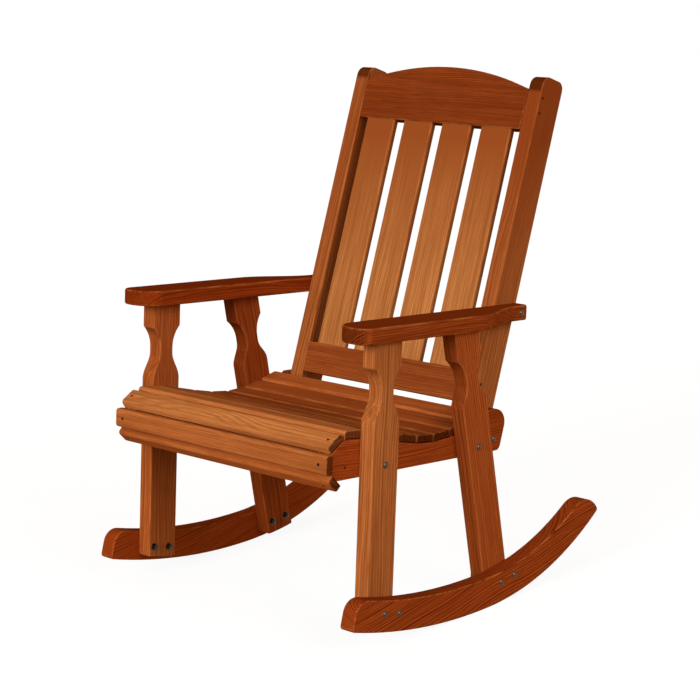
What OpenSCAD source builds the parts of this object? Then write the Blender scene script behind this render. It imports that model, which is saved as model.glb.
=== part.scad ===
// Mission rocking chair of planks, slats and carriage bolts. Millimetres.
// Front is -Y, the sitter's left is +X, the floor is z = 0.
// Every piece is drawn with the legs upright, in [y, z] outlines given thickness along X,
// and the whole is then leaned back onto its rockers.

/* [Stock] */
// Thickness of the rocker, leg, rail and post boards
board_t = 38; // [37:0.5:39]
// Thickness of the arm boards
arm_t = 35; // [32:1:38]
// Thickness of the seat slats
slat_t = 19; // [17:0.5:20]
// Thickness of the back slats
back_slat_t = 16; // [14:0.5:18]
// Radius along the upper edges of the seat and nose slats
seat_edge_r = 7.5; // [6:0.5:8]
// Radius along the edges of the back slats
slat_edge_r = 4; // [3:0.5:5]

/* [Frame] */
// Clear width between the two back posts
back_w = 494; // [488:1:500]
// Angle by which the whole chair leans back on its rockers
rest_lean = 4.9; // [4.4:0.01:5.3]

/* [Rockers] */
// Radius of the underside of the rockers from the front end to under the seat
front_curve_r = 1400; // [1300:10:1500]
// Radius of the underside of the rockers behind that
rear_curve_r = 690; // [670:5:710]
// Angle from straight down at which the rear curve takes over
curve_joint_angle = 5.6; // [5.4:0.1:6]
// Height of the rocker boards, measured square to the curve
rocker_h = 68.5; // [68:0.5:72]
// Place along Y of the centre of the front curve
rocker_y = 4.5; // [0:0.1:9]
// Height of the lowest point of the front curve in the upright frame
rocker_low_z = 27.3; // [24:0.1:30]
// Angle from straight down to the front end of the rockers
rocker_front_angle = 12.5; // [12:0.1:13.5]
// Angle from straight down to the rear end of the rockers
rocker_rear_angle = 40.9; // [39:0.1:42]
// Radius of the upper corner at the front end of the rockers
rocker_front_r = 33; // [24:1:36]
// Radius of the upper corner at the rear end of the rockers
rocker_rear_r = 59; // [50:1:60]
// Radius of the lower corners at both ends of the rockers
rocker_tip_r = 8; // [4:1:9]

/* [Legs] */
// Width of the leg boards
leg_w = 80; // [76:1:84]
// Width of the legs at the neck
neck_w = 38; // [34:1:42]
// Height of the middle of the neck
neck_z = 539; // [534:1:544]
// Length of the narrow part of the neck
neck_len = 12; // [8:1:16]
// Length of the round hollow above the neck, which ends at a sharp corner
cove_up = 49; // [44:1:54]
// Length of the hollow below the neck of the front legs
cove_down = 60; // [54:1:66]
// Length of the hollow below the neck of the rear legs
rear_cove_down = 52; // [46:1:58]
// Place of the middle of the front legs
front_leg_y = -175.5; // [-179:0.5:-172]
// Place of the middle of the rear legs at neck height
rear_leg_y = 96.6; // [93:0.1:100]
// Angle by which the rear legs lean forward
rear_leg_lean = 13.46; // [12.5:0.02:14.5]
// Distance from the underside of the rockers up to the foot of the legs
foot_lift = 15; // [11:1:18]

/* [Seat] */
// Height of the underside of the seat rails
rail_z = 361.3; // [357:0.1:365]
// Height of the bottom of the dish in the seat rails
dish_z = 406.5; // [404:0.1:410]
// Place of the bottom of the dish
dish_y = 25; // [15:1:35]
// Rise of the rail from the dish to its front
front_rise = 39.5; // [36:0.5:42]
// Rise of the curve behind the dish
rear_rise = 45; // [41:0.5:46]
// Distance from the bottom of the dish to the crown at the front of the seat
front_reach = 292; // [285:1:300]
// Distance from the bottom of the dish to the end of the curve behind it
rear_reach = 235; // [225:1:245]
// Place of the first seat slat bearing
seat_front_y = -262.75; // [-264:0.25:-262]
// Spacing of the seat slats
seat_pitch = 56; // [55.5:0.1:56.1]
// Width of the seat slats
seat_slat_w = 52.5; // [50:0.5:52.5]
// Distance by which the nose of the rails stands in front of the first seat slat bearing
nose_reach = 37.75; // [36:0.25:39]
// Drop from the first seat slat bearing to the top of the front nose slat bearing
nose_drop = 25.5; // [24.5:0.5:27]
// Height of the front nose slat bearing
nose_h = 42.5; // [42:0.5:44]
// Distance by which the lowest nose slat bearing runs back under the nose
nose_foot_run = 18; // [16:0.5:20]
// Width of the top nose slat
nose_top_w = 45; // [43:0.5:45]
// Width of the front nose slat
nose_front_w = 42; // [40:0.5:42]
// Width of the bottom nose slat
nose_bottom_w = 36; // [34:0.5:39]
// Distance by which the two lower nose slats pass the outer faces of the rails
nose_over = 6.6; // [4:0.2:8]
// Height of the rear end of the seat rails
rail_rear_z = 456; // [454:0.5:459]
// Distance by which the seat rails stand out behind the back posts
rail_tail = 5.5; // [2:0.5:7]
// Radius of the upper rear corner of the seat rails
rail_rear_r = 33; // [28:1:36]
// Height of the cross members
cross_h = 44; // [40:1:44]
// Place of the middle of the front cross member
front_cross_y = -258; // [-260:0.5:-254]
// Place of the middle of the rear cross member
rear_cross_y = 94; // [90:0.5:95]

/* [Back] */
// Angle by which the back leans
back_rake = 15.5; // [15:0.1:15.8]
// Place where the front plane of the back meets the height zero
back_y = 62.3; // [62.3:0.1:66]
// Depth of the back posts
post_d = 74.4; // [70:0.2:78]
// Height of the foot of the back posts
post_foot_z = 366; // [364:1:370]
// Radius of the front corner on top of the back posts
post_front_r = 24; // [18:1:30]
// Radius of the rear corner on top of the back posts
post_rear_r = 18; // [14:1:24]
// Distance along the posts to the underside of the lower back rail
low_rail_v = 484; // [483:1:490]
// Height of the lower back rail
low_rail_h = 73; // [68:1:76]
// Distance along the posts to the underside of the crest rail
crest_v = 1110; // [1100:1:1120]
// Height of the crest rail at its ends
crest_end_h = 93; // [88:1:98]
// Rise of the arch of the crest rail
crest_rise = 41; // [35:1:45]
// Distance from the underside of the crest rail up to the top of the back posts
post_over_crest = 127; // [120:1:140]
// Width of the back slats
back_slat_w = 88; // [84:1:92]
// Spacing of the back slats
back_slat_pitch = 118; // [114:1:118]
// Depth of the mortises that hold the ends of the back slats
tenon = 12; // [8:1:16]
// Distance from the front plane of the back to the face of the back slats
back_slat_set = 1.5; // [1:0.5:4]

/* [Arms] */
// Height of the underside of the arms
arm_z = 648.5; // [640:0.5:656]
// Width of the arms
arm_w = 93; // [90:1:96]
// Place of the front ends of the arms
arm_front_y = -273; // [-278:1:-268]
// Place where the arms begin to narrow
arm_taper_y = 100; // [92:1:108]
// Length of the S-curve where the arms narrow
arm_taper_len = 184; // [170:1:190]
// Radius of the outer front corners of the arms
arm_front_r = 30; // [24:1:34]
// Radius of the inner front corners of the arms
arm_inner_r = 55; // [46:1:58]
// Radius of the rear corners of the arms
arm_rear_r = 8; // [4:1:10]

/* [Fasteners] */
// Diameter of the carriage bolts
bolt_d = 7.9; // [7.4:0.1:8.4]
// Diameter of the bolt heads
bolt_head_d = 15.5; // [14:0.5:17]
// Height of the domed bolt heads
bolt_head_h = 4; // [3:0.25:5]
// Spacing of the two bolts at each foot of a leg
foot_bolt_gap = 45; // [42:0.5:48]
// Distance from the underside of the rockers to the bolts of the front legs
front_bolt_rise = 39; // [36:0.5:42]
// Distance from the underside of the rockers to the bolts of the rear legs
rear_bolt_rise = 45; // [42:0.5:48]
// Height of the bolts through legs and seat rails
rail_bolt_z = 389; // [386:0.5:392]
// Distance of the arm bolts from the rear edge of the back posts
arm_bolt_inset = 22.5; // [20:0.5:26]
// Diameter of the screw shanks
screw_d = 3.6; // [3.4:0.1:4]
// Diameter of the screw heads
screw_head_d = 7; // [6.6:0.2:8]
// Depth of the screw heads below the face they are driven into
screw_sink = 2; // [1:0.25:3]
// Diameter of the headless pins
pin_d = 2.6; // [2.2:0.1:3]
// Diameter of the dowels
dowel_d = 10; // [9:0.5:11]
// Length of the dowels
dowel_len = 40; // [36:1:44]

/* [Hidden] */
$fn = 48;
curve_fn = 240;

// Gap round the ends of the slats in their mortises and round the screws, pins and dowels
snug = 0.15;
// Gap round the bolts in their bores
bolt_gap = 0.3;
// Length by which a cut passes the face it leaves through
over = 1;
// The same for the waste of round corners, which may lie on a hollow edge
waste_over = 4;

cedar = [0.62, 0.33, 0.15];
steel = [0.75, 0.76, 0.78];

// Inner faces of the four layers of boards, from the middle of the chair outwards
post_x = back_w / 2;
rail_x = post_x + board_t;
leg_x = rail_x + board_t;
rocker_x = leg_x + board_t;
rocker_out_x = rocker_x + board_t;

// Point at an angle from straight down about a centre
function on_arc(c, r, a) = c + r * [sin(a), -cos(a)];

// Centres of the two rocker curves, which meet without a corner
front_c = [rocker_y, rocker_low_z + front_curve_r];
rear_c = on_arc(front_c, front_curve_r - rear_curve_r, curve_joint_angle);

// Height of the rail edge that carries the seat slats
function dish(y) = y < dish_y
  ? dish_z + front_rise * (1 - cos(180 * min(1, (dish_y - y) / front_reach))) / 2
  : dish_z + rear_rise * (1 - cos(180 * min(1, (y - dish_y) / rear_reach))) / 2;

// Bearings of the eight seat slats, then the three corners of the nose
seat_n = 8;
seat_pts = [for (i = [0 : seat_n]) [seat_front_y + i * seat_pitch, dish(seat_front_y + i * seat_pitch)]];
nose_hi = seat_pts[0] - [nose_reach, nose_drop];
nose_lo = nose_hi - [0, nose_h];
nose_foot = [nose_lo[0] + nose_foot_run, rail_z];

// Point in the plane of the back posts: v along the post, d behind its front face
function on_back(v, d) = [back_y + v * sin(back_rake) + d * cos(back_rake),
                          v * cos(back_rake) - d * sin(back_rake)];
function back_v(z, d) = (z + d * sin(back_rake)) / cos(back_rake);
function back_rear_y(z) = on_back(back_v(z, post_d), post_d)[0];

// Length from height zero to the top of the back posts, along the posts
post_top = crest_v + post_over_crest;

leg_top_y = rear_leg_y - (arm_z - neck_z) * tan(rear_leg_lean);
rear_foot_y = rear_leg_y + (neck_z - rocker_low_z - rocker_h) * tan(rear_leg_lean);

// Places [y, z] of the bolts. The front pair and the rear rail bolt sit a little ahead of mid leg.
front_pair_lead = 3.5;
rear_bolt_lead = 6;
function on_foot(c, r, y) = [y, c[1] - sqrt(r * r - pow(y - c[0], 2))];
foot_bolts = [
  on_foot(front_c, front_curve_r - front_bolt_rise, front_leg_y - front_pair_lead - foot_bolt_gap / 2),
  on_foot(front_c, front_curve_r - front_bolt_rise, front_leg_y - front_pair_lead + foot_bolt_gap / 2),
  on_foot(rear_c, rear_curve_r - rear_bolt_rise, rear_foot_y - foot_bolt_gap / 2),
  on_foot(rear_c, rear_curve_r - rear_bolt_rise, rear_foot_y + foot_bolt_gap / 2)
];
rail_bolts = [
  [front_leg_y, rail_bolt_z],
  [rear_leg_y + (neck_z - rail_bolt_z) * tan(rear_leg_lean) - rear_bolt_lead, rail_bolt_z]
];
post_bolt_inset = 24;
post_bolt = [back_rear_y(rail_bolt_z) - post_bolt_inset, rail_bolt_z];
arm_bolt = [back_rear_y(arm_z + arm_t / 2) - arm_bolt_inset, arm_z + arm_t / 2];

washer_t = 1.6;
washer_d = 19;
nut_t = 6.5;
nut_d = 14.6;
bolt_tail = 3;
bolt_chamfer = 0.8;
bolt_grip = 2 * board_t;

// Screws of the back: distance along the post, then behind its front face
crest_screw_hi = 76;
crest_screw_lo = 41;
crest_screw_d = 11;
low_screw_lift = 46;
low_screw_d = 14;
back_screws = [
  [crest_v + crest_screw_hi, crest_screw_d],
  [crest_v + crest_screw_lo, crest_screw_d],
  [low_rail_v + low_screw_lift, low_screw_d]
];
// Length of the screws past the first board, and the same for the nose screws and the pins
board_bite = 34;
nose_bite = 24;
pin_bite = 22;
board_screw_len = board_t + board_bite;
nose_screw_len = slat_t + nose_bite;
pin_len = slat_t + pin_bite;

// Lift of the cross members over the underside of the seat rails
cross_lift = 4;
cross_z = rail_z + cross_lift;
cross_screw_z = cross_z + cross_h / 2;
rear_screw_back = 6;

// Cross recess in the screw heads
recess_w = 1.1;
recess_span = 4;
recess_deep = 1.2;

nose_screw_out = 2;
screw_x = leg_x - board_t / 2 + nose_screw_out;
pin_x = leg_x - board_t / 2;
pin_deep = 2;
dowel_gap = 34;

// Outline of a board given its thickness along X
module plank(x0, t) {
  translate([x0, 0, 0])
    rotate([90, 0, 90])
      linear_extrude(t)
        children();
}

// Whole chair leaned back on its rockers, centred over the floor
function leaned(p) = [p[0] * cos(rest_lean) + p[1] * sin(rest_lean),
                      -p[0] * sin(rest_lean) + p[1] * cos(rest_lean)];
front_end = on_arc(front_c, front_curve_r - rocker_tip_r,
                   asin(rocker_tip_r / (front_curve_r - rocker_tip_r)) - rocker_front_angle);
rear_end = on_arc(rear_c, rear_curve_r - rocker_tip_r,
                  rocker_rear_angle - asin(rocker_tip_r / (rear_curve_r - rocker_tip_r)));
nose_tip = [nose_lo[0] - slat_t + seat_edge_r, nose_lo[1] + (nose_h - nose_front_w) / 2 + seat_edge_r];
rest_front_y = min(leaned(front_end)[0] - rocker_tip_r, leaned(nose_tip)[0] - seat_edge_r);
post_tip = on_back(post_top - post_rear_r, post_d - post_rear_r);
rest_rear_y = max(leaned(rear_end)[0] + rocker_tip_r, leaned(post_tip)[0] + post_rear_r);
rest_floor_z = leaned(front_c)[1] - front_curve_r;
module at_rest() {
  translate([0, -(rest_rear_y + rest_front_y) / 2, -rest_floor_z])
    rotate([-rest_lean, 0, 0])
      children();
}
module right_side() {
  mirror([1, 0, 0])
    children();
}
module both_sides() {
  children();
  right_side() children();
}

// Waste outside a round corner: centre, radius and the two directions to its ends
module corner_waste(c, r, d1, d2) {
  far = r + waste_over;
  difference() {
    polygon([c, c + d1 * far, c + (d1 + d2) * far / (1 + d1 * d2), c + d2 * far]);
    translate(c) circle(r);
  }
}
function unit(v) = v / norm(v);
// Waste at the corner p1 between p0 and p2
module corner_cut(p0, p1, p2, r) {
  u = unit(p0 - p1);
  v = unit(p2 - p1);
  half = acos(u * v) / 2;
  c = p1 + unit(u + v) * r / sin(half);
  corner_waste(c, r, unit(p1 + u * r / tan(half) - c), unit(p1 + v * r / tan(half) - c));
}

// Round bore along X
module bore_x(x0, x1, p, d) {
  translate([x0, p[0], p[1]])
    rotate([0, 90, 0])
      cylinder(h = x1 - x0, d = d);
}

// Rocker
// Round corners at the end of a curve: side is -1 at the front and 1 at the rear
module rocker_end(c, r, a, side, upper_r) {
  lower = r - rocker_tip_r;
  upper = r - rocker_h + upper_r;
  lower_angle = a - asin(rocker_tip_r / lower);
  upper_angle = a - asin(upper_r / upper);
  corner_waste(on_arc(c, lower, side * lower_angle), rocker_tip_r, [side * cos(a), sin(a)],
               [side * sin(lower_angle), -cos(lower_angle)]);
  corner_waste(on_arc(c, upper, side * upper_angle), upper_r, [side * cos(a), sin(a)],
               [-side * sin(upper_angle), cos(upper_angle)]);
}
// Everything inside the two curves, a distance in from the underside
module within_curves(inset) {
  far = 2 * front_curve_r;
  side_angle = 45;
  intersection() {
    translate(front_c) circle(front_curve_r - inset, $fn = curve_fn);
    polygon([front_c, on_arc(front_c, far, -side_angle), on_arc(front_c, far, curve_joint_angle)]);
  }
  translate(rear_c) circle(rear_curve_r - inset, $fn = curve_fn);
}
module rocker_outline() {
  difference() {
    intersection() {
      within_curves(0);
      polygon([on_arc(front_c, front_curve_r / 2, -rocker_front_angle),
               on_arc(front_c, front_curve_r * 2, -rocker_front_angle),
               on_arc(rear_c, rear_curve_r * 2, rocker_rear_angle),
               on_arc(rear_c, rear_curve_r / 2, rocker_rear_angle)]);
    }
    within_curves(rocker_h);
    rocker_end(front_c, front_curve_r, rocker_front_angle, -1, rocker_front_r);
    rocker_end(rear_c, rear_curve_r, rocker_rear_angle, 1, rocker_rear_r);
  }
}
module rocker() {
  color(cedar) difference() {
    plank(rocker_x, board_t) rocker_outline();
    for (p = foot_bolts) bore_x(rocker_x - over, rocker_out_x + over, p, bolt_d + 2 * bolt_gap);
  }
}

// Legs
cove_n = 14;
leg_half = leg_w / 2;
neck_half = neck_w / 2;
neck_hi = neck_len / 2;
cove_deep = leg_half - neck_half;
cove_r = (cove_up * cove_up + cove_deep * cove_deep) / (2 * cove_deep);
// Half width of a leg along the S-curve below the neck and along the arc above it
function cove_s(t) = neck_half + cove_deep * (1 - cos(180 * t)) / 2;
function cove_arc(h) = neck_half + cove_r - sqrt(cove_r * cove_r - h * h);
// Right edge of a leg from below the hollow to above it, about the middle of the neck
function cove_edge(down) = concat(
  [for (i = [cove_n : -1 : 0]) [cove_s(i / cove_n), -neck_hi - down * i / cove_n]],
  [for (i = [0 : cove_n]) [cove_arc(cove_up * i / cove_n), neck_hi + cove_up * i / cove_n]]
);
// The blank of a leg reaches as far below and above the neck as the neck is high
module leg_outline(y, lean, down, c, r) {
  near_edge = cove_edge(down);
  far_edge = [for (i = [len(near_edge) - 1 : -1 : 0]) [-near_edge[i][0], near_edge[i][1]]];
  intersection() {
    translate([y, neck_z]) rotate(lean) polygon(concat(
      [[leg_half, -neck_z]], near_edge, [[leg_half, neck_z], [-leg_half, neck_z]],
      far_edge, [[-leg_half, -neck_z]]));
    translate(c) circle(r - foot_lift, $fn = curve_fn);
    translate([y - arm_z, -arm_z]) square(2 * arm_z);
  }
}
module leg(y, lean, down, top_y, first, c, r) {
  color(cedar) difference() {
    plank(leg_x, board_t) leg_outline(y, lean, down, c, r);
    for (i = [first, first + 1]) bore_x(leg_x - over, rocker_x + over, foot_bolts[i], bolt_d + 2 * bolt_gap);
    bore_x(leg_x - over, rocker_x + over, rail_bolts[first / 2], bolt_d + 2 * bolt_gap);
    dowel_bores(top_y);
  }
}
module front_leg() leg(front_leg_y, 0, cove_down, front_leg_y, 0, front_c, front_curve_r);
module rear_leg() leg(rear_leg_y, rear_leg_lean, rear_cove_down, leg_top_y, 2, rear_c, rear_curve_r);

// Arm dowels
module at_dowels(top_y) {
  for (s = [-1, 1])
    translate([leg_x + board_t / 2, top_y + s * dowel_gap / 2, arm_z])
      children();
}
module dowel_bores(top_y) {
  at_dowels(top_y) translate([0, 0, -dowel_len / 2 - snug])
    cylinder(h = dowel_len + 2 * snug, d = dowel_d + 2 * snug);
}
module arm_dowels() {
  color(cedar) at_rest() both_sides() for (y = [front_leg_y, leg_top_y])
    at_dowels(y) translate([0, 0, -dowel_len / 2]) cylinder(h = dowel_len, d = dowel_d);
}

// Arm
taper_n = 16;
arm_out_x = rail_x + arm_w;
arm_end_y = back_rear_y(arm_z + arm_t / 2);
function arm_edge_x(t) = leg_x + (arm_out_x - leg_x) * (1 + cos(180 * t)) / 2;
module arm_outline() {
  front_in = [rail_x, arm_front_y];
  front_out = [arm_out_x, arm_front_y];
  end_out = [leg_x, arm_end_y];
  end_in = [rail_x, arm_end_y];
  taper = [for (i = [0 : taper_n]) [arm_edge_x(i / taper_n), arm_taper_y + arm_taper_len * i / taper_n]];
  difference() {
    polygon(concat([front_in, front_out], taper, [end_out, end_in]));
    corner_cut(end_in, front_in, front_out, arm_inner_r);
    corner_cut(front_in, front_out, [arm_out_x, 0], arm_front_r);
    corner_cut([leg_x, 0], end_out, end_in, arm_rear_r);
    corner_cut(end_out, end_in, front_in, arm_rear_r);
  }
}
module arm() {
  color(cedar) difference() {
    translate([0, 0, arm_z]) linear_extrude(arm_t) arm_outline();
    dowel_bores(front_leg_y);
    dowel_bores(leg_top_y);
    bore_x(rail_x - over, leg_x + over, arm_bolt, bolt_d + 2 * bolt_gap);
  }
}

// Seat rail
module rail_outline() {
  back_hi = [back_rear_y(rail_rear_z) + rail_tail, rail_rear_z];
  back_lo = [back_rear_y(rail_z) + rail_tail, rail_z];
  ramp_run = 16;
  rail_low_r = 14;
  difference() {
    polygon(concat([nose_foot, nose_lo, nose_hi], seat_pts,
                   [[seat_pts[seat_n][0] + ramp_run, rail_rear_z], back_hi, back_lo]));
    corner_cut([seat_pts[seat_n][0], rail_rear_z], back_hi, back_lo, rail_rear_r);
    corner_cut(back_hi, back_lo, nose_foot, rail_low_r);
  }
}
module seat_rail() {
  color(cedar) difference() {
    plank(rail_x, board_t) rail_outline();
    for (p = rail_bolts) bore_x(rail_x - over, leg_x + over, p, bolt_d + 2 * bolt_gap);
    bore_x(rail_x - over, leg_x + over, post_bolt, bolt_d + 2 * bolt_gap);
    at_frame_screws() screw_shape(board_screw_len, snug);
    for (i = [0 : 2]) at_nose_screw(i) screw_shape(nose_screw_len, snug);
    for (i = [0 : seat_n - 1]) at_pin(i) pin_shape(snug);
  }
}

// Slats of the seat
// Flat section standing on its bearing, with one radius on the upper edges and one on the lower
module slat_section(w, t, upper_r, lower_r) {
  translate([-w / 2 + upper_r, 0]) square([w - 2 * upper_r, t]);
  translate([-w / 2 + lower_r, 0]) square([w - 2 * lower_r, t - upper_r]);
  translate([-w / 2, lower_r]) square([w, t - upper_r - lower_r]);
  for (side = [-1, 1]) {
    translate([side * (w / 2 - upper_r), t - upper_r]) circle(upper_r, $fn = 32);
    translate([side * (w / 2 - lower_r), lower_r]) circle(lower_r, $fn = 24);
  }
}
// Bearings in order: bottom, front and top of the nose, then the seat
bearings = concat([nose_foot, nose_lo, nose_hi], seat_pts);
nose_gap = 0.5;
seat_under_r = 1.5;
function bearing_angle(i) = atan2(bearings[i + 1][1] - bearings[i][1], bearings[i + 1][0] - bearings[i][0]);
function bearing_mid(i) = i == 0
  ? nose_lo - (nose_bottom_w / 2 + nose_gap) * [cos(bearing_angle(0)), sin(bearing_angle(0))]
  : (bearings[i] + bearings[i + 1]) / 2;
module slat_on(i, w, half_len) {
  plank(-half_len, 2 * half_len)
    translate(bearing_mid(i)) rotate(bearing_angle(i))
        slat_section(w, slat_t, seat_edge_r, seat_under_r);
}
module on_bearing(i, x) {
  p = bearing_mid(i);
  translate([x, p[0], p[1]])
    rotate([bearing_angle(i), 0, 0])
      translate([0, 0, slat_t])
        children();
}
module at_nose_screw(i) on_bearing(i, screw_x) children();
module at_pin(i) on_bearing(i + 3, pin_x) translate([0, 0, -pin_deep]) children();
module nose_slat(i, w, half_len) {
  color(cedar) at_rest() difference() {
    slat_on(i, w, half_len);
    both_sides() at_nose_screw(i) screw_shape(nose_screw_len, snug);
  }
}
slat_end_gap = 0.3;
module seat_slat(i) {
  color(cedar) at_rest() difference() {
    slat_on(i + 3, seat_slat_w, leg_x - slat_end_gap);
    both_sides() at_pin(i) pin_shape(snug);
  }
}

// Cross members
module cross_member(y) {
  color(cedar) at_rest() difference() {
    translate([-rail_x, y - board_t / 2, cross_z]) cube([2 * rail_x, board_t, cross_h]);
    both_sides() at_frame_screws() screw_shape(board_screw_len, snug);
  }
}
module at_frame_screws() {
  for (y = [front_cross_y, rear_cross_y + rear_screw_back])
    translate([leg_x, y, cross_screw_z]) rotate([0, 90, 0]) children();
}

// Back
module in_back() {
  translate([0, back_y, 0])
    rotate([-back_rake, 0, 0])
      children();
}
// Outline in [x, v] given thickness from d0 behind the front plane of the back
module back_board(d0, t) {
  translate([0, d0 + t, 0])
    rotate([90, 0, 0])
      linear_extrude(t)
        children();
}
module post_outline() {
  foot_front = on_back(back_v(post_foot_z, 0), 0);
  foot_rear = on_back(back_v(post_foot_z, post_d), post_d);
  top_front = on_back(post_top, 0);
  top_rear = on_back(post_top, post_d);
  difference() {
    polygon([foot_front, foot_rear, top_rear, top_front]);
    corner_cut(foot_rear, top_rear, top_front, post_rear_r);
    corner_cut(top_rear, top_front, foot_front, post_front_r);
    corner_cut(foot_front, foot_rear, top_rear, post_rear_r);
  }
}
module back_post() {
  color(cedar) difference() {
    plank(post_x, board_t) post_outline();
    bore_x(post_x - over, rail_x + over, post_bolt, bolt_d + 2 * bolt_gap);
    bore_x(post_x - over, rail_x + over, arm_bolt, bolt_d + 2 * bolt_gap);
    at_back_screws() screw_shape(board_screw_len, snug);
  }
}
module at_back_screws() {
  for (s = back_screws) in_back() translate([rail_x, s[1], s[0]]) rotate([0, 90, 0]) children();
}
crest_r = (post_x * post_x + crest_rise * crest_rise) / (2 * crest_rise);
crest_peak = crest_v + crest_end_h + crest_rise;
module crest_rail() {
  color(cedar) at_rest() difference() {
    in_back() back_board(0, board_t) intersection() {
      translate([-post_x, crest_v]) square([back_w, crest_peak]);
      translate([0, crest_peak - crest_r]) circle(crest_r, $fn = curve_fn);
    }
    in_back() mortises();
    both_sides() at_back_screws() screw_shape(board_screw_len, snug);
  }
}
module lower_back_rail() {
  color(cedar) at_rest() difference() {
    in_back() back_board(0, board_t) translate([-post_x, low_rail_v]) square([back_w, low_rail_h]);
    in_back() mortises();
    both_sides() at_back_screws() screw_shape(board_screw_len, snug);
  }
}
slat_v0 = low_rail_v + low_rail_h - tenon;
slat_v1 = crest_v + tenon;
back_n = 4;
function back_slat_x(i) = (i - (back_n - 1) / 2) * back_slat_pitch;
module back_slat_shape(i, gap) {
  translate([back_slat_x(i), back_slat_set - gap, slat_v0 - gap])
    linear_extrude(slat_v1 - slat_v0 + 2 * gap)
      slat_section(back_slat_w + 2 * gap, back_slat_t + 2 * gap, slat_edge_r, slat_edge_r);
}
module mortises() {
  for (i = [0 : back_n - 1]) back_slat_shape(i, snug);
}
module back_slat(i) {
  color(cedar) at_rest() in_back() back_slat_shape(i, 0);
}

// Fasteners
// Each stands with its head up at the origin, over the face it is driven into
module bolt() {
  dome_r = (bolt_head_d * bolt_head_d / 4 + bolt_head_h * bolt_head_h) / (2 * bolt_head_h);
  intersection() {
    translate([0, 0, bolt_head_h - dome_r]) sphere(dome_r, $fn = 64);
    cylinder(h = bolt_head_h + over, d = bolt_head_d);
  }
  reach = bolt_grip + washer_t + nut_t + bolt_tail;
  end_d = bolt_d - 2 * bolt_chamfer;
  translate([0, 0, -reach]) intersection() {
    cylinder(h = reach, d = bolt_d);
    cylinder(h = reach, d1 = end_d, d2 = end_d + 2 * reach);
  }
}
module at_bolts(x, places) {
  both_sides() for (p = places) translate([x, p[0], p[1]]) rotate([0, 90, 0]) children();
}
module all_bolts() {
  at_bolts(rocker_out_x, foot_bolts) children();
  at_bolts(rocker_x, rail_bolts) children();
  at_bolts(leg_x, [post_bolt, arm_bolt]) children();
}
module rocker_bolts() color(steel) at_rest() at_bolts(rocker_out_x, foot_bolts) bolt();
module leg_bolts() color(steel) at_rest() at_bolts(rocker_x, rail_bolts) bolt();
module post_bolts() color(steel) at_rest() at_bolts(leg_x, [post_bolt]) bolt();
module arm_bolts() color(steel) at_rest() at_bolts(leg_x, [arm_bolt]) bolt();
module washers() {
  color(steel) at_rest() all_bolts() translate([0, 0, -bolt_grip - washer_t]) difference() {
    cylinder(h = washer_t, d = washer_d);
    translate([0, 0, -over]) cylinder(h = washer_t + 2 * over, d = bolt_d + 2 * bolt_gap);
  }
}
// Hexagon nut with its outer corners turned off at 30 degrees
module nuts() {
  flat_d = nut_d * cos(30);
  color(steel) at_rest() all_bolts() translate([0, 0, -bolt_grip - washer_t - nut_t]) difference() {
    intersection() {
      cylinder(h = nut_t, d = nut_d, $fn = 6);
      cylinder(h = nut_t, d1 = flat_d, d2 = flat_d + 2 * nut_t * tan(60));
    }
    translate([0, 0, -over]) cylinder(h = nut_t + 2 * over, d = bolt_d + 2 * snug);
  }
}
// Countersunk screw with its flat head sunk below the face, or the bore for it
module screw_shape(length, gap) {
  cone_h = (screw_head_d - screw_d) / 2;
  translate([0, 0, -screw_sink]) difference() {
    union() {
      translate([0, 0, -cone_h]) cylinder(h = cone_h, d1 = screw_d + 2 * gap, d2 = screw_head_d + 2 * gap);
      translate([0, 0, -length - gap]) cylinder(h = length + gap - cone_h / 2, d = screw_d + 2 * gap);
      if (gap > 0) cylinder(h = screw_sink + over, d = screw_head_d + 2 * gap);
    }
    if (gap == 0) for (turn = [45, 135]) rotate(turn)
      translate([-recess_w / 2, -recess_span / 2, -recess_deep])
        cube([recess_w, recess_span, recess_deep + over]);
  }
}
module nose_screws() {
  color(steel) at_rest() both_sides() for (i = [0 : 2]) at_nose_screw(i) screw_shape(nose_screw_len, 0);
}
module post_screws() color(steel) at_rest() both_sides() at_back_screws() screw_shape(board_screw_len, 0);
module frame_screws() color(steel) at_rest() both_sides() at_frame_screws() screw_shape(board_screw_len, 0);
// Headless pin sunk in the slat, or the bore for it
module pin_shape(gap) {
  translate([0, 0, -pin_len - gap]) cylinder(h = pin_len + 2 * gap, d = pin_d + 2 * gap);
}
module seat_pins() color(steel) at_rest() both_sides() for (i = [0 : seat_n - 1]) at_pin(i) pin_shape(0);

// Pieces
module left_rocker() at_rest() rocker();
module right_rocker() at_rest() right_side() rocker();
module left_front_leg() at_rest() front_leg();
module right_front_leg() at_rest() right_side() front_leg();
module left_rear_leg() at_rest() rear_leg();
module right_rear_leg() at_rest() right_side() rear_leg();
module left_seat_rail() at_rest() seat_rail();
module right_seat_rail() at_rest() right_side() seat_rail();
module left_back_post() at_rest() back_post();
module right_back_post() at_rest() right_side() back_post();
module left_arm() at_rest() arm();
module right_arm() at_rest() right_side() arm();
module back_slat_1() back_slat(0);
module back_slat_2() back_slat(1);
module back_slat_3() back_slat(2);
module back_slat_4() back_slat(3);
module nose_slat_bottom() nose_slat(0, nose_bottom_w, leg_x + nose_over);
module nose_slat_front() nose_slat(1, nose_front_w, leg_x + nose_over);
module nose_slat_top() nose_slat(2, nose_top_w, leg_x - slat_end_gap);
module seat_slat_1() seat_slat(0);
module seat_slat_2() seat_slat(1);
module seat_slat_3() seat_slat(2);
module seat_slat_4() seat_slat(3);
module seat_slat_5() seat_slat(4);
module seat_slat_6() seat_slat(5);
module seat_slat_7() seat_slat(6);
module seat_slat_8() seat_slat(7);
module front_cross_member() cross_member(front_cross_y);
module rear_cross_member() cross_member(rear_cross_y);

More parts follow.
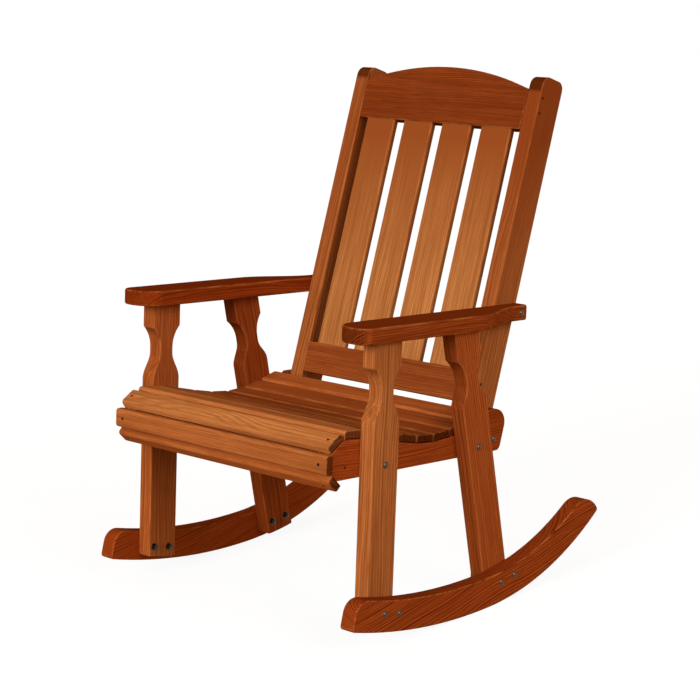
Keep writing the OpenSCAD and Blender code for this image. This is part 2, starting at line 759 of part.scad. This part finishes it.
left_rocker();
right_rocker();
left_front_leg();
right_front_leg();
left_rear_leg();
right_rear_leg();
left_seat_rail();
right_seat_rail();
left_back_post();
right_back_post();
left_arm();
right_arm();
crest_rail();
lower_back_rail();
back_slat_1();
back_slat_2();
back_slat_3();
back_slat_4();
nose_slat_bottom();
nose_slat_front();
nose_slat_top();
seat_slat_1();
seat_slat_2();
seat_slat_3();
seat_slat_4();
seat_slat_5();
seat_slat_6();
seat_slat_7();
seat_slat_8();
front_cross_member();
rear_cross_member();
rocker_bolts();
leg_bolts();
post_bolts();
arm_bolts();
nuts();
washers();
nose_screws();
post_screws();
frame_screws();
arm_dowels();
seat_pins();
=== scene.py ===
# %% [markdown]
# # A slatted rocking chair in stained cedar
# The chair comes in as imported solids: boards, slats, bolts and screws, each in its true place.
# They have the right size, but every edge is knife sharp and nothing has a colour yet.
# This lesson eases the edges of the boards, gives each board its own run of grain, and plates
# the bolts with zinc. Nothing is moved: a dressed board stays exactly where its solid is.

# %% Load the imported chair
import math
import random

import bmesh
import bpy
from mathutils import Euler, Matrix, Vector


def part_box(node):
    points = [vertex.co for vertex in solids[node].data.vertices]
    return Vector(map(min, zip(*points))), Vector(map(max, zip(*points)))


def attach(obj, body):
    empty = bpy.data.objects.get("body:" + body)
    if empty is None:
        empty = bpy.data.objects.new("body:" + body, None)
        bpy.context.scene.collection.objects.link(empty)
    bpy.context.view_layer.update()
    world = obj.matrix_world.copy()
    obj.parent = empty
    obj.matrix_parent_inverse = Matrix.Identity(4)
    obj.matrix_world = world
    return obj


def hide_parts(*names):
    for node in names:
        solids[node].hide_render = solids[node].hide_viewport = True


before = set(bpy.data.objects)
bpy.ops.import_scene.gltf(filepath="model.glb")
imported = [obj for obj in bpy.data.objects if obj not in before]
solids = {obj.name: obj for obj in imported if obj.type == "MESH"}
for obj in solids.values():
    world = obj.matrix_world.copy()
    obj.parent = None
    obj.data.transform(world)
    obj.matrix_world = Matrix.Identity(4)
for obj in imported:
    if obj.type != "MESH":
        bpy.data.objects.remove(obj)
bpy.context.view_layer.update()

# %% [markdown]
# ## The camera
# A camera can be aimed at an empty with a constraint, or turned by hand until the picture looks
# right. Here its place and turn were measured from the photograph, so they are simply written
# down: how far it stands round from the front, how much it looks down, and the small tip that
# allows for the chair leaning back on its rockers.

# %% Set up the camera
CAMERA_PLACE = (3.2222, -3.3680, 1.5647)
STAND_ROUND = math.radians(43.40)
LOOK_DOWN = math.radians(11.07)
CHAIR_TIP = math.radians(-2.03)
LENS_MM = 108.25
FILM_MM = 36


def link(thing):
    """Puts a new object in the scene."""
    bpy.context.scene.collection.objects.link(thing)
    return thing


camera = link(bpy.data.objects.new("camera", bpy.data.cameras.new("camera")))
camera.data.sensor_width = FILM_MM
camera.data.lens = LENS_MM
camera.data.clip_end = 60
camera.matrix_world = (
    Matrix.Translation(CAMERA_PLACE)
    @ Matrix.Rotation(CHAIR_TIP, 4, "X")
    @ Matrix.Rotation(STAND_ROUND, 4, "Z")
    @ Matrix.Rotation(math.pi / 2 - LOOK_DOWN, 4, "X")
)
bpy.context.scene.camera = camera
print("camera at", [round(v, 3) for v in camera.location])

# %% [markdown]
# ## A short way to write shader sums
# A finish is a net of nodes. Made by hand in the editor it is easy to see but slow to repeat for
# so many boards, and made in plain Python each sum takes four lines. A small class that stands
# for one wire lets a sum be written as a sum, and one method makes every other node.


# %% Wires
class Wire:
    """An output of a node. Sums on wires add Math nodes."""

    def __init__(self, recipe, node, out=0):
        self.recipe, self.node, self.socket = recipe, node, node.outputs[out]

    def __getitem__(self, out):
        return Wire(self.recipe, self.node, out)

    def sum(self, operation, *values, clamp=False):
        settings = {"operation": operation, "use_clamp": clamp}
        return self.recipe.node("ShaderNodeMath", settings, dict(enumerate(values)))

    def __add__(self, other):
        return self.sum("ADD", self, other)

    def __radd__(self, other):
        return self.sum("ADD", other, self)

    def __sub__(self, other):
        return self.sum("SUBTRACT", self, other)

    def __rsub__(self, other):
        return self.sum("SUBTRACT", other, self)

    def __mul__(self, other):
        return self.sum("MULTIPLY", self, other)

    def __rmul__(self, other):
        return self.sum("MULTIPLY", other, self)

    def __truediv__(self, other):
        return self.sum("DIVIDE", self, other)

    def __pow__(self, other):
        return self.sum("POWER", self, other)

    def alone(self, operation):
        """A sum on this wire only, such as its fraction or its size without its sign."""
        return self.sum(operation, self)

    def between(self, low, high):
        """0 below low, 1 above high, and an even rise between them. It falls where low is the larger."""
        return self.sum("MULTIPLY", self - low, 1 / (high - low), clamp=True)


# %% Recipes
class Recipe:
    """The nodes of a material, or of the sky."""

    def __init__(self, owner):
        owner.use_nodes = True
        self.owner, self.tree = owner, owner.node_tree
        self.tree.nodes.clear()

    def node(self, kind, settings=None, inputs=None, out=0):
        made = self.tree.nodes.new(kind)
        for key, value in (settings or {}).items():
            if key == "stops":
                self.set_stops(made.color_ramp, value)
            else:
                setattr(made, key, value)
        for key, value in (inputs or {}).items():
            if isinstance(value, Wire):
                self.tree.links.new(value.socket, made.inputs[key])
            else:
                made.inputs[key].default_value = value
        return Wire(self, made, out) if made.outputs else None

    @staticmethod
    def set_stops(ramp, stops):
        while len(ramp.elements) < len(stops):
            ramp.elements.new(0.5)
        for element, (place, value) in zip(ramp.elements, stops):
            element.position = place
            element.color = (value, value, value, 1)

    def mix(self, share, first, second):
        """Two colours mixed. Inputs 6 and 7 are the colour ones of this many-sided node."""
        settings = {"data_type": "RGBA", "clamp_factor": True}
        return self.node("ShaderNodeMix", settings, {0: share, 6: first, 7: second}, out=2)

    def finish(self, **inputs):
        named = {key.replace("_", " "): value for key, value in inputs.items()}
        shader = self.node("ShaderNodeBsdfPrincipled", None, named)
        self.node("ShaderNodeOutputMaterial", None, {"Surface": shader})
        return self.owner


def new_recipe(name):
    return Recipe(bpy.data.materials.new(name))


def paint(red, green, blue):
    """A colour as a paint chart gives it, from 0 to 255, in the light units that shaders use."""
    shares = [c / 255 for c in (red, green, blue)]
    return (*(((c + 0.055) / 1.055) ** 2.4 if c > 0.04 else c / 12.92 for c in shares), 1)


# %% [markdown]
# ## Stained cedar
# A tree grows one ring a year, so a board is a slice through a stack of thin cones. Painting
# stripes on each face would show seams at the edges. Instead the finish measures how far each
# point of the board lies from the middle of the tree it was cut from, and colours by that: the
# rings then run round the edges and over the end grain by themselves, and a board cut nearer the
# middle gets the pointed arches that real boards have. Fine fibres, drawn out along the board,
# lie on top, and the stain is uneven in broad soft clouds. The stain is matt. A shine would
# mirror the white room and lay a pale veil over the dark boards, so the finish has none.

# %% Colours of the stain
CEDAR = paint(189, 118, 63)
# The share of a board's light that is left where the stain went on thin, deep and so on
STAINS = {"thin": 1.16, "middling": 0.86, "deep": 0.46, "black": 0.20, "soaked": 0.13}


def stain(depth, red):
    """Cedar stained by depth, from 0, which leaves it as it is, to 1 for black. Below 0 it is lighter.
    A stain takes the most from blue and the least from red, the more so the higher red is."""
    left = 1 - depth
    green, blue = left ** 1.35 * (1 - 0.45 * red), left ** 1.6 * (1 - 0.65 * red)
    return (CEDAR[0] * left, CEDAR[1] * green, CEDAR[2] * blue, 1)


def stain_like(kind, dark, red):
    """One of the stains above on a board that went dark to this depth all over."""
    return stain(1 - (1 - dark) * STAINS[kind], red)


for depth, red in ((0.1, 0), (0.6, 1)):
    print("stain of depth", depth, "and red", red, [round(c, 3) for c in stain(depth, red)])

# %% [markdown]
# ## Streaks and rings
# Both come from soft noise. Stretched along the board, its patches become fibres, and the settings
# below say how many patches a metre holds along the board and across it, how many finer layers of
# noise lie on them, and how strong those layers are. The rings are counted from the middle of the
# tree, which wanders a little along the board, and no two years are equally wide or dark.

# %% Measures of the grain
FIBRE = (7, 520, 4.0, 0.7)
HAIR = (22, 850, 2.0, 0.6)
BAND = (3, 130, 3.0, 0.65)
CLOUD = (3.5, 14, 2.0, 0.6)
BLUSH = (1.6, 6, 1.0, 0.6)
RUBBED = (14, 90, 3.0, 0.6)
WOBBLE = (5, 60, 2.0, 0.6)
# How far the middle of the tree wanders in all, in metres
WANDER = 0.030
# The dark part of one year, from the pale early wood at 0 to the end of the late wood at 1
YEAR = [(0.0, 0.0), (0.50, 0.0), (0.70, 0.7), (0.82, 1.0), (0.93, 0.8), (1.0, 0.0)]


def streaks(recipe, board, along, across, detail, rough):
    """Soft noise with its patches drawn out along the board."""
    stretch = {0: board, 1: (along, across, across)}
    stretched = recipe.node("ShaderNodeVectorMath", {"operation": "MULTIPLY"}, stretch)
    noise = {"Vector": stretched, "Scale": 1.0, "Detail": detail, "Roughness": rough}
    return recipe.node("ShaderNodeTexNoise", None, noise)


def slow_noise(recipe, place, detail):
    """Soft noise that changes with one value only."""
    noise = {"W": place, "Scale": 1.0, "Detail": detail}
    return recipe.node("ShaderNodeTexNoise", {"noise_dimensions": "1D"}, noise)


def late_wood(recipe, board, pith, ring):
    """1 on the dark lines that end the years, and 0 between them."""
    part = recipe.node("ShaderNodeSeparateXYZ", None, {"Vector": board})
    along, across, through = part["X"], part["Y"], part["Z"]
    sideways = across - pith[0] + (slow_noise(recipe, along * 2.2 + 3.1, 1.0) - 0.5) * WANDER
    inwards = through - pith[1] + (slow_noise(recipe, along * 1.7 + 17.7, 1.0) - 0.5) * WANDER
    year = (sideways * sideways + inwards * inwards) ** 0.5 / ring + streaks(recipe, board, *WOBBLE) * 1.2
    width = slow_noise(recipe, year * 0.31, 2.0) * 1.6
    late = recipe.node("ShaderNodeValToRGB", {"stops": YEAR}, {0: (year + width).alone("FRACT")})
    return late * slow_noise(recipe, year * 0.55 + 40.0, 1.0).between(0.05, 0.62)


# %% [markdown]
# ## The coats of one board
# The colour is built as a finisher would build it, from the ground colour up: each coat has a mask,
# which says where it lies, and a stain. The darkest go on last, on the end grain, because cut
# fibres drink the most. Two coats are painted shade, deeper up the back and on faces that look up.
# Along the middle of each rounded edge the stain is lighter, partly rubbed wear and partly a painted
# highlight.

# %% The cedar recipe
# The heights between which painted shade deepens the stain up the back, the height over which the
# dark tip of a post begins, and how far the grain stands out, all in metres
BACK_SHADE_SPAN = (0.45, 0.98)
TIP_RISE = 0.008
GRAIN_RELIEF = 0.0006


def stained_cedar(name, axes, seed, pith, ring=0.0045, lines=0.8, dark=0.1, red=0.3, ends=0.85,
                  high=0.0, top=0.0, streaky=0.55, tip=None):
    """axes turns the chair's axes to the board's: along, across and through. pith is where the middle
    of the tree lay, across and through the board. ring is the width of a year, in metres. lines is
    how strongly the rings show, and dark and red are how this board took the stain. ends is how
    dark the end grain went, high how much painted shade deepens the stain at the top of the back, top
    how much painted shade darkens faces that look up, and streaky how uneven it is from fibre to fibre.
    tip is the height where the rounded end of a post begins, which drank stain like end grain."""
    wood = new_recipe(name)
    spot = wood.node("ShaderNodeTexCoord", out="Object")
    facing = wood.node("ShaderNodeTexCoord", out="Normal")
    height = wood.node("ShaderNodeSeparateXYZ", None, {"Vector": spot})["Z"]
    direction = wood.node("ShaderNodeSeparateXYZ", None, {"Vector": facing})
    turn = {"Rotation": axes.to_euler()}
    shift = {"Location": (random.Random(seed).uniform(-9, 9), 0, 0)}
    board = wood.node("ShaderNodeMapping", {"vector_type": "POINT"}, {"Vector": spot, **turn, **shift})
    turned = wood.node("ShaderNodeMapping", {"vector_type": "NORMAL"}, {"Vector": facing, **turn})
    end_on = wood.node("ShaderNodeSeparateXYZ", None, {"Vector": turned})["X"]
    end_grain = end_on.alone("ABSOLUTE").between(0.40, 0.78)
    late = late_wood(wood, board, pith, ring)
    fibre, hair, band, cloud, blush, rubbed = (
        streaks(wood, board, *grain) for grain in (FIBRE, HAIR, BAND, CLOUD, BLUSH, RUBBED))
    thin, middling, deep, black, soaked = (stain_like(kind, dark, red) for kind in STAINS)
    # Each coat is a mask, from 0 to 1 over the board, and the stain that lies there
    coats = [
        (fibre.between(0.30, 0.70), thin),
        (band.between(0.42, 0.66) * streaky, deep),
        (late * lines, deep),
        (late * band.between(0.60, 0.40) * lines * 0.6, black),
        (hair.between(0.53, 0.66) * 0.34, black),
        (cloud.between(0.50, 0.80) * 0.35, deep),
        (blush.between(0.42, 0.75) * 0.30, deep),
        # Painted shade: the stain deepens towards the top of the back
        (height.between(*BACK_SHADE_SPAN) ** 1.6 * high, stain_like("deep", dark, red + 0.5)),
        # Painted shade: faces that look up are darkened, for the little light that falls from above
        (direction["Z"].between(0.50, 0.90) * top, deep),
        (end_grain * ends, wood.mix(late * lines, soaked, thin)),
    ]
    if tip:
        not_sideways = direction["X"].alone("ABSOLUTE").between(0.75, 0.25)
        coats.append((height.between(tip, tip + TIP_RISE) * not_sideways * 0.8, soaked))
    # Along the middle of each round the stain is lightened: partly rubbed wear, partly a painted
    # highlight
    wear_and_highlight_mask = wood.node("ShaderNodeAttribute", {"attribute_name": "wear"}, None, out="Fac")
    coats.append((wear_and_highlight_mask * rubbed.between(0.42, 0.66) * 0.5, stain(0.0, 0.1)))
    colour = middling
    for mask, coat in coats:
        colour = wood.mix(mask, colour, coat)
    relief = late * 0.35 + fibre * 0.45 + hair * 0.35
    raised = {"Strength": 0.35, "Distance": GRAIN_RELIEF, "Height": relief}
    bump = wood.node("ShaderNodeBump", None, raised)
    rough = 0.46 + fibre * 0.16 + end_grain * 0.2
    return wood.finish(Base_Color=colour, Roughness=rough, Normal=bump, Specular_IOR_Level=0.0)


# %% [markdown]
# ## Easing the edges
# A sharp edge has no width, so it can't catch the light, and real boards are always sanded round.
# A Bevel modifier would round every edge, also the mouths of the bolt holes, where a board must
# stay tight round its bolt. So a copy of each solid is merged into one skin, its flat faces are
# joined, and only the long sharp edges that lie clear of a fastener are bevelled. The points
# along the middle of a round are marked, and the stain is lighter there: partly rubbed wear,
# partly a painted highlight along the round.

# %% Merge the loose triangles of a solid
SAME_SPOT = 1e-5
FLAT = math.radians(0.1)


def weld(shape):
    bmesh.ops.remove_doubles(shape, verts=shape.verts, dist=SAME_SPOT)


def join_flats(shape):
    bmesh.ops.dissolve_limit(shape, angle_limit=FLAT, verts=shape.verts, edges=shape.edges)


def merged(solid):
    shape = bmesh.new()
    shape.from_mesh(solid.data)
    weld(shape)
    join_flats(shape)
    return shape


# %% Where the fasteners run
def loose_parts(solid):
    """The corners of each separate bolt, screw or pin of a solid."""
    shape = bmesh.new()
    shape.from_mesh(solid.data)
    weld(shape)
    left, parts = set(shape.verts), []
    while left:
        todo = [left.pop()]
        part = []
        while todo:
            corner = todo.pop()
            part.append(corner.co.copy())
            for edge in corner.link_edges:
                other = edge.other_vert(corner)
                if other in left:
                    left.remove(other)
                    todo.append(other)
        parts.append(part)
    shape.free()
    return parts


def centre(points):
    return sum(points, Vector()) / len(points)


def shaft(part):
    """The two ends of a fastener's axis, from the corners of its solid."""
    first = max(part, key=lambda p: (p - part[0]).length)
    last = max(part, key=lambda p: (p - first).length)
    middle = centre(part)
    axis = (last - first).normalized()
    for _ in range(2):
        heads = [p for p in part if (p - middle).dot(axis) > 0]
        tails = [p for p in part if (p - middle).dot(axis) <= 0]
        axis = (centre(heads) - centre(tails)).normalized()
    reach = [(p - middle).dot(axis) for p in part]
    return middle + axis * min(reach), middle + axis * max(reach)


# How far the wall of a fastener's hole may lie from its axis, in millimetres
BORE_REACH = {
    "rocker_bolts": 5.4, "leg_bolts": 5.4, "post_bolts": 5.4, "arm_bolts": 5.4,
    "nose_screws": 4.6, "post_screws": 4.6, "frame_screws": 4.6,
    "arm_dowels": 6.4, "seat_pins": 2.2,
}
PAST_END = 0.004
shafts = [(*shaft(part), reach / 1000, name)
          for name, reach in BORE_REACH.items() for part in loose_parts(solids[name])]
print("fasteners found:", len(shafts))


def shaft_at(point, only=None):
    """The number of the fastener whose hole a point lies on, or None."""
    for number, (low, high, reach, name) in enumerate(shafts):
        if only and name not in only:
            continue
        axis = (high - low).normalized()
        height = (point - low).dot(axis)
        aside = (point - low - axis * height).length
        if -PAST_END < height < (high - low).length + PAST_END and aside < reach:
            return number
    return None


# %% Close the pin holes
def fill_pin_holes(shape):
    """The holes over the seat pins are stopped with filler, so the skin is closed over them."""
    wall = {}
    for corner in shape.verts:
        number = shaft_at(corner.co, {"seat_pins"})
        if number is not None:
            wall[corner] = number
    lined = [f for f in shape.faces if all(v in wall for v in f.verts)]
    inside = [f for f in lined if len({wall[v] for v in f.verts}) == 1]
    bmesh.ops.delete(shape, geom=inside, context="FACES")
    bmesh.ops.holes_fill(shape, edges=[e for e in shape.edges if e.is_boundary], sides=0)
    join_flats(shape)


# %% Ease the long edges and mark where wear and a painted highlight lighten them
SHARP = math.radians(35)
NARROW = 0.003
NEAR_MOUTH = 0.001


def in_box(point, low, high):
    return all(low[i] - NEAR_MOUTH < point[i] < high[i] + NEAR_MOUTH for i in range(3))


def sharp_edges(shape, spare):
    """Edges that stick out and lie clear of every fastener and of the boxes in spare."""
    found = []
    for edge in shape.edges:
        if not edge.is_manifold or edge.calc_face_angle_signed() < SHARP:
            continue
        ends = [v.co for v in edge.verts]
        if any(shaft_at(p) is not None or any(in_box(p, *box) for box in spare) for p in ends):
            continue
        found.append(edge)
    return found


def ease(shape, width, spare):
    edges = sharp_edges(shape, spare)
    bmesh.ops.bevel(shape, geom=edges, offset=width, offset_type="OFFSET", affect="EDGES", segments=3,
                    profile=0.5, clamp_overlap=False, material=-1, loop_slide=True)
    return len(edges)


def mark_wear_and_highlight(shape):
    """1 on points that touch narrow faces only, which is the middle of every round, where the stain is
    lightened partly as rubbed edges and partly as a painted highlight.
    """
    layer = shape.verts.layers.float.new("wear")
    for corner in shape.verts:
        widths = [f.calc_area() / max(e.calc_length() for e in f.edges) for f in corner.link_faces]
        corner[layer] = 1.0 if widths and max(widths) < NARROW else 0.0


# %% Make a finished piece
SMOOTH_UNDER = math.radians(42)


def as_piece(shape, name, material, node):
    """A finished piece from a shape, riding on the chair in place of its solid."""
    mesh = bpy.data.meshes.new(name)
    shape.normal_update()
    shape.to_mesh(mesh)
    shape.free()
    piece = link(bpy.data.objects.new(name, mesh))
    mesh.polygons.foreach_set("use_smooth", [True] * len(mesh.polygons))
    mesh.set_sharp_from_angle(angle=SMOOTH_UNDER)
    weighted = piece.modifiers.new("even light on flats", "WEIGHTED_NORMAL")
    weighted.keep_sharp = True
    mesh.materials.append(material)
    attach(piece, "root")
    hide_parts(node)
    return piece


# %% [markdown]
# ## Which way the grain runs
# A board is sawn with the grain along its length, because that is where it is strong. The widest
# flat face tells which way is through the board, and its longest straight edge which way is
# along. Only the rockers need telling: they are curves cut from a straight plank, so their
# grain runs straight from one end to the other and crosses the curve.


# %% Find the axes of a board and dress it
def board_axes(shape, along=None):
    face = max(shape.faces, key=lambda f: f.calc_area())
    through = face.normal.copy()
    if along is None:
        edge = max(shape.edges, key=lambda e: e.calc_length())
        along = edge.verts[1].co - edge.verts[0].co
    along = (along - through * along.dot(through)).normalized()
    across = through.cross(along).normalized()
    return Matrix((along, across, through))


boards = []


def dress(node, pith, width=0.003, along=None, spare=(), **look):
    """Eases a board, stains it, and puts it in place of its solid."""
    shape = merged(solids[node])
    if node.startswith("seat_slat"):
        fill_pin_holes(shape)
    axes = board_axes(shape, along)
    middle = axes @ centre([v.co for v in shape.verts])
    eased = ease(shape, width, spare)
    mark_wear_and_highlight(shape)
    pith_place = (middle.y + pith[0], middle.z + pith[1])
    cedar = stained_cedar(node + "_cedar", axes, node, pith_place, **look)
    boards.append(as_piece(shape, node + "_eased", cedar, node))
    print(node, "edges eased:", eased, "faces:", len(boards[-1].data.polygons))


# %% [markdown]
# ## Rockers
# Each rocker is sawn from one plank to a long curve. The blade leaves straight grain that runs
# out along the curve, which shows as long slanting lines on the outer face. The chord from the
# front tip to the rear tip gives the grain its direction.

# %% Dress the rockers
CHORD_RISE = math.radians(9)
CHORD = Vector((0, math.cos(CHORD_RISE), math.sin(CHORD_RISE)))
# top darkens the faces that look up, as painted shade
dress("left_rocker", (0.16, 0.10), along=CHORD, ring=0.0044,
      lines=1.3, dark=0.29, red=1.0, ends=0.2, top=0.4, streaky=0.2)
dress("right_rocker", (-0.18, 0.09), along=CHORD, ring=0.0044,
      lines=1.0, dark=0.19, red=1.1, ends=0.25, top=0.3, streaky=0.3)

# %% [markdown]
# ## Legs
# Four planks, each with a hollowed neck below the arm, cut with a band saw and sanded. The front
# pair took the stain thinly and came out light and streaky, the rear pair darker and redder.

# %% Dress the legs
dress("left_front_leg", (0.14, 0.12), dark=-0.06, red=0.3, streaky=0.7)
dress("right_front_leg", (-0.13, 0.12), lines=0.6, dark=0.10, red=0.6, streaky=0.7)
dress("left_rear_leg", (0.12, -0.13), dark=0.12, red=0.8)
dress("right_rear_leg", (-0.10, 0.15), dark=0.32, red=0.85)

# %% [markdown]
# ## Arms
# The arms are flat boards with round front corners, eased more than the rest because hands lie on
# them. Their front ends show end grain, dark because cut fibres drink more stain, with the rings
# crossing it at a slant.

# %% Dress the arms
ARM_EASE = 0.0045
# top darkens the faces that look up, as painted shade
dress("left_arm", (0.12, -0.12), ARM_EASE, dark=0.32, red=0.9, top=0.75, streaky=0.75)
dress("right_arm", (-0.12, 0.12), ARM_EASE, dark=0.40, red=1.1, ends=0.3, top=0.5, streaky=0.75)

# %% [markdown]
# ## Seat rails and cross members
# The rails carry the slats on a dished edge, and two boards between them hold them square.

# %% Dress the rails
dress("left_seat_rail", (0.20, 0.05), dark=0.22, red=1.05)
dress("right_seat_rail", (-0.18, 0.06), dark=0.2, red=1.0)
dress("front_cross_member", (0.10, 0.12), dark=0.2, red=0.75)
dress("rear_cross_member", (0.12, 0.10), dark=0.2, red=0.75)

# %% [markdown]
# ## Slats of the seat
# Three slats wrap round the nose of the rails and eight lie in the dish. Their long edges are
# already round in the solids, so only the ends are eased here. A slat is thin, and each was cut
# from another place in the tree, so each gets its own rings and took the stain its own way.

# %% Dress the seat slats
# For each slat: where the middle of the tree lay, then how dark and how red the stain went
SLATS = {
    "nose_slat_top": ((0.02, 0.06), -0.14, 0.10),
    "nose_slat_front": ((0.12, 0.05), 0.08, 0.35),
    "nose_slat_bottom": ((-0.05, 0.07), 0.10, 0.60),
    "seat_slat_1": ((0.15, 0.02), -0.12, 0.28),
    "seat_slat_2": ((-0.10, 0.04), 0.02, 0.34),
    "seat_slat_3": ((0.06, 0.09), 0.12, 0.40),
    "seat_slat_4": ((-0.16, 0.03), 0.22, 0.46),
    "seat_slat_5": ((0.10, 0.06), 0.34, 0.52),
    "seat_slat_6": ((-0.03, 0.08), 0.32, 0.58),
    "seat_slat_7": ((0.14, 0.05), 0.20, 0.64),
    "seat_slat_8": ((-0.12, 0.05), 0.02, 0.64),
}
for number, (node, (pith, dark, red)) in enumerate(SLATS.items()):
    ring = 0.0034 + 0.0003 * (number % 4)
    dress(node, pith, ring=ring, lines=0.4, dark=dark, red=red, ends=1.0, streaky=0.6)

# %% [markdown]
# ## Back
# Two raked posts hold an arched crest rail and a lower rail, and four slats stand in mortises
# between the rails. The mouths of the mortises stay sharp, so that no dark gap opens there. The
# rounded tops of the posts are cut across the grain and went dark.

# %% Dress the back
POST_EASE = 0.0025
# high darkens the upper posts as painted shade
dress("left_back_post", (0.13, 0.12), POST_EASE, dark=0.04, red=0.3, high=0.85, tip=1.094)
dress("right_back_post", (-0.12, 0.12), POST_EASE, dark=0.12, red=0.3, high=0.45, tip=1.100)
MOUTHS = [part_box("back_slat_%d" % n) for n in range(1, 5)]
dress("crest_rail", (0.15, 0.08), spare=MOUTHS, ring=0.0034,
      lines=0.5, dark=0.52, red=0.7, streaky=0.55)
dress("lower_back_rail", (0.12, 0.07), spare=MOUTHS, ring=0.0034,
      lines=0.6, dark=0.32, red=0.5, streaky=0.6)

SLAT_EASE = 0.0015
BACK_SLAT_PITH = [(0.14, 0.05), (-0.10, 0.07), (0.12, 0.06), (-0.15, 0.05)]
# high darkens the upper slats as painted shade
for number, pith in enumerate(BACK_SLAT_PITH, 1):
    dress("back_slat_%d" % number, pith, SLAT_EASE, ring=0.0042,
          lines=0.6, dark=-0.17, red=-0.12, high=1.0, streaky=0.75)
print("boards dressed:", len(boards))

# %% [markdown]
# ## Bolts, nuts and washers
# Carriage bolts have a smooth dome and are plated with zinc, which is never a perfect mirror: it
# has fine crystals and rub marks. A metal shows what stands round it, and here that is a white
# room. So its own colour is kept dark, and the soft lamps give each dome its bright spot.


# %% Zinc plate and dark screws
def plated(name, colour, dull, rubbed, relief):
    """colour is the clean metal, dull how rough it is, rubbed how far dark rub marks cover it, and
    relief how strongly the marks stand out."""
    metal = new_recipe(name)
    spot = metal.node("ShaderNodeTexCoord", out="Object")
    crystals = metal.node("ShaderNodeTexVoronoi", None, {"Vector": spot, "Scale": 900.0})
    marks = {"Vector": spot, "Scale": 420.0, "Detail": 5.0, "Roughness": 0.7}
    rubs = metal.node("ShaderNodeTexNoise", None, marks)
    shade = metal.mix(rubs.between(0.40, 0.75) * rubbed, colour, paint(60, 55, 50))
    bump = metal.node("ShaderNodeBump", None, {"Strength": relief, "Distance": 0.0002, "Height": rubs})
    rough = dull + rubs * 0.18 + crystals * 0.08
    return metal.finish(Base_Color=shade, Metallic=1.0, Roughness=rough, Normal=bump)


zinc = plated("zinc_plate", paint(78, 58, 46), 0.06, 0.35, 0.15)
dull_zinc = plated("dull_zinc", paint(80, 64, 48), 0.12, 0.6, 0.3)
dark_steel = plated("dark_coated_steel", paint(60, 52, 46), 0.30, 0.55, 0.3)

# %% Brighten the fasteners
BROKEN = math.radians(40)


def polish(node, material, width=0.0):
    """A merged copy of the fasteners, with smooth round faces and lightly broken edges."""
    shape = merged(solids[node])
    if width:
        edges = [e for e in shape.edges if e.is_manifold and e.calc_face_angle_signed() > BROKEN]
        bmesh.ops.bevel(shape, geom=edges, offset=width, offset_type="OFFSET", affect="EDGES", segments=2,
                        profile=0.5, clamp_overlap=True, material=-1)
    piece = as_piece(shape, node + "_bright", material, node)
    print(node, "faces:", len(piece.data.polygons))


for node in ("rocker_bolts", "leg_bolts", "post_bolts", "arm_bolts"):
    polish(node, zinc, 0.0004)
polish("nuts", dull_zinc, 0.0006)
polish("washers", dull_zinc, 0.0003)
for node in ("nose_screws", "post_screws", "frame_screws"):
    polish(node, dark_steel)

# %% [markdown]
# ## Dowels and pins
# These sit inside the boards and don't show. They keep their solids and get a plain finish of
# their own, in case a board is taken away to look inside.

# %% Finish the hidden pieces
bare_cedar = stained_cedar("bare_dowel_wood", Matrix.Identity(3), "dowels", (0.05, 0.05), ring=0.002,
                           lines=0.2, dark=0.0, red=0.0)
for node, material in (("arm_dowels", bare_cedar), ("seat_pins", dark_steel)):
    solids[node].data.materials.clear()
    solids[node].data.materials.append(material)
    print(node, "finished with", material.name)

# %% [markdown]
# ## Floor and light
# The chair was shown on plain white. A white floor under bright lamps would also bleach the wood,
# so the lamps stay at a plain level. The floor and sky are white only where the camera sees them,
# straight or mirrored in a bolt. The light that they throw on the chair is dimmer and warm, as in
# a room with a wooden floor. The floor keeps a soft shadow under the rockers.

# %% Lay the floor
WHITE = (1, 1, 1, 1)
NEARLY_WHITE = (0.97, 0.97, 0.97, 1)
WARM_FLOOR = (0.35, 0.29, 0.22, 1)
WARM_SKY = (1.0, 0.83, 0.62, 1)


def seen(recipe):
    """1 where the camera looks, also by way of a mirror or glass, and 0 for light on the chair."""
    ray = recipe.node("ShaderNodeLightPath")
    return (ray["Is Camera Ray"] + ray["Is Glossy Ray"] + ray["Is Transmission Ray"]).between(0, 1)


pale = new_recipe("pale_floor")
looked_at = seen(pale)
matt = pale.node("ShaderNodeBsdfDiffuse", None, {"Color": pale.mix(looked_at, WARM_FLOOR, NEARLY_WHITE)})
glow = pale.node("ShaderNodeEmission", None, {"Color": WHITE, "Strength": 1.07})
shown = pale.node("ShaderNodeMixShader", None, {0: looked_at * 0.85, 1: matt, 2: glow})
pale.node("ShaderNodeOutputMaterial", None, {"Surface": shown})

ground = bmesh.new()
bmesh.ops.create_grid(ground, x_segments=1, y_segments=1, size=12)
floor_mesh = bpy.data.meshes.new("floor")
ground.to_mesh(floor_mesh)
ground.free()
floor_mesh.materials.append(pale.owner)
floor = link(bpy.data.objects.new("floor", floor_mesh))
print("floor laid:", [round(v, 1) for v in floor.dimensions])

# %% Light the sky and hang the lamps
bpy.context.scene.world = bpy.data.worlds.new("studio")
studio = Recipe(bpy.context.scene.world)
looked_at = seen(studio)
sky = {"Color": studio.mix(looked_at, WARM_SKY, WHITE), "Strength": looked_at * 0.7 + 0.3}
background = studio.node("ShaderNodeBackground", None, sky)
studio.node("ShaderNodeOutputWorld", None, {"Surface": background})


def lamp(name, round_from_front, height, strength, softness):
    """A far lamp. It stands round_from_front degrees to the sitter's left and height degrees up."""
    light = bpy.data.lights.new(name, "SUN")
    light.energy = strength
    light.angle = math.radians(softness)
    hung = link(bpy.data.objects.new(name, light))
    hung.rotation_euler = Euler((math.radians(90 - height), 0, math.radians(round_from_front)))
    print(name, "hung with strength", strength)


lamp("key_lamp", round_from_front=5, height=20, strength=2.5, softness=25)
lamp("side_lamp", round_from_front=84, height=24, strength=1.6, softness=40)
bpy.context.scene.view_settings.view_transform = "Standard"
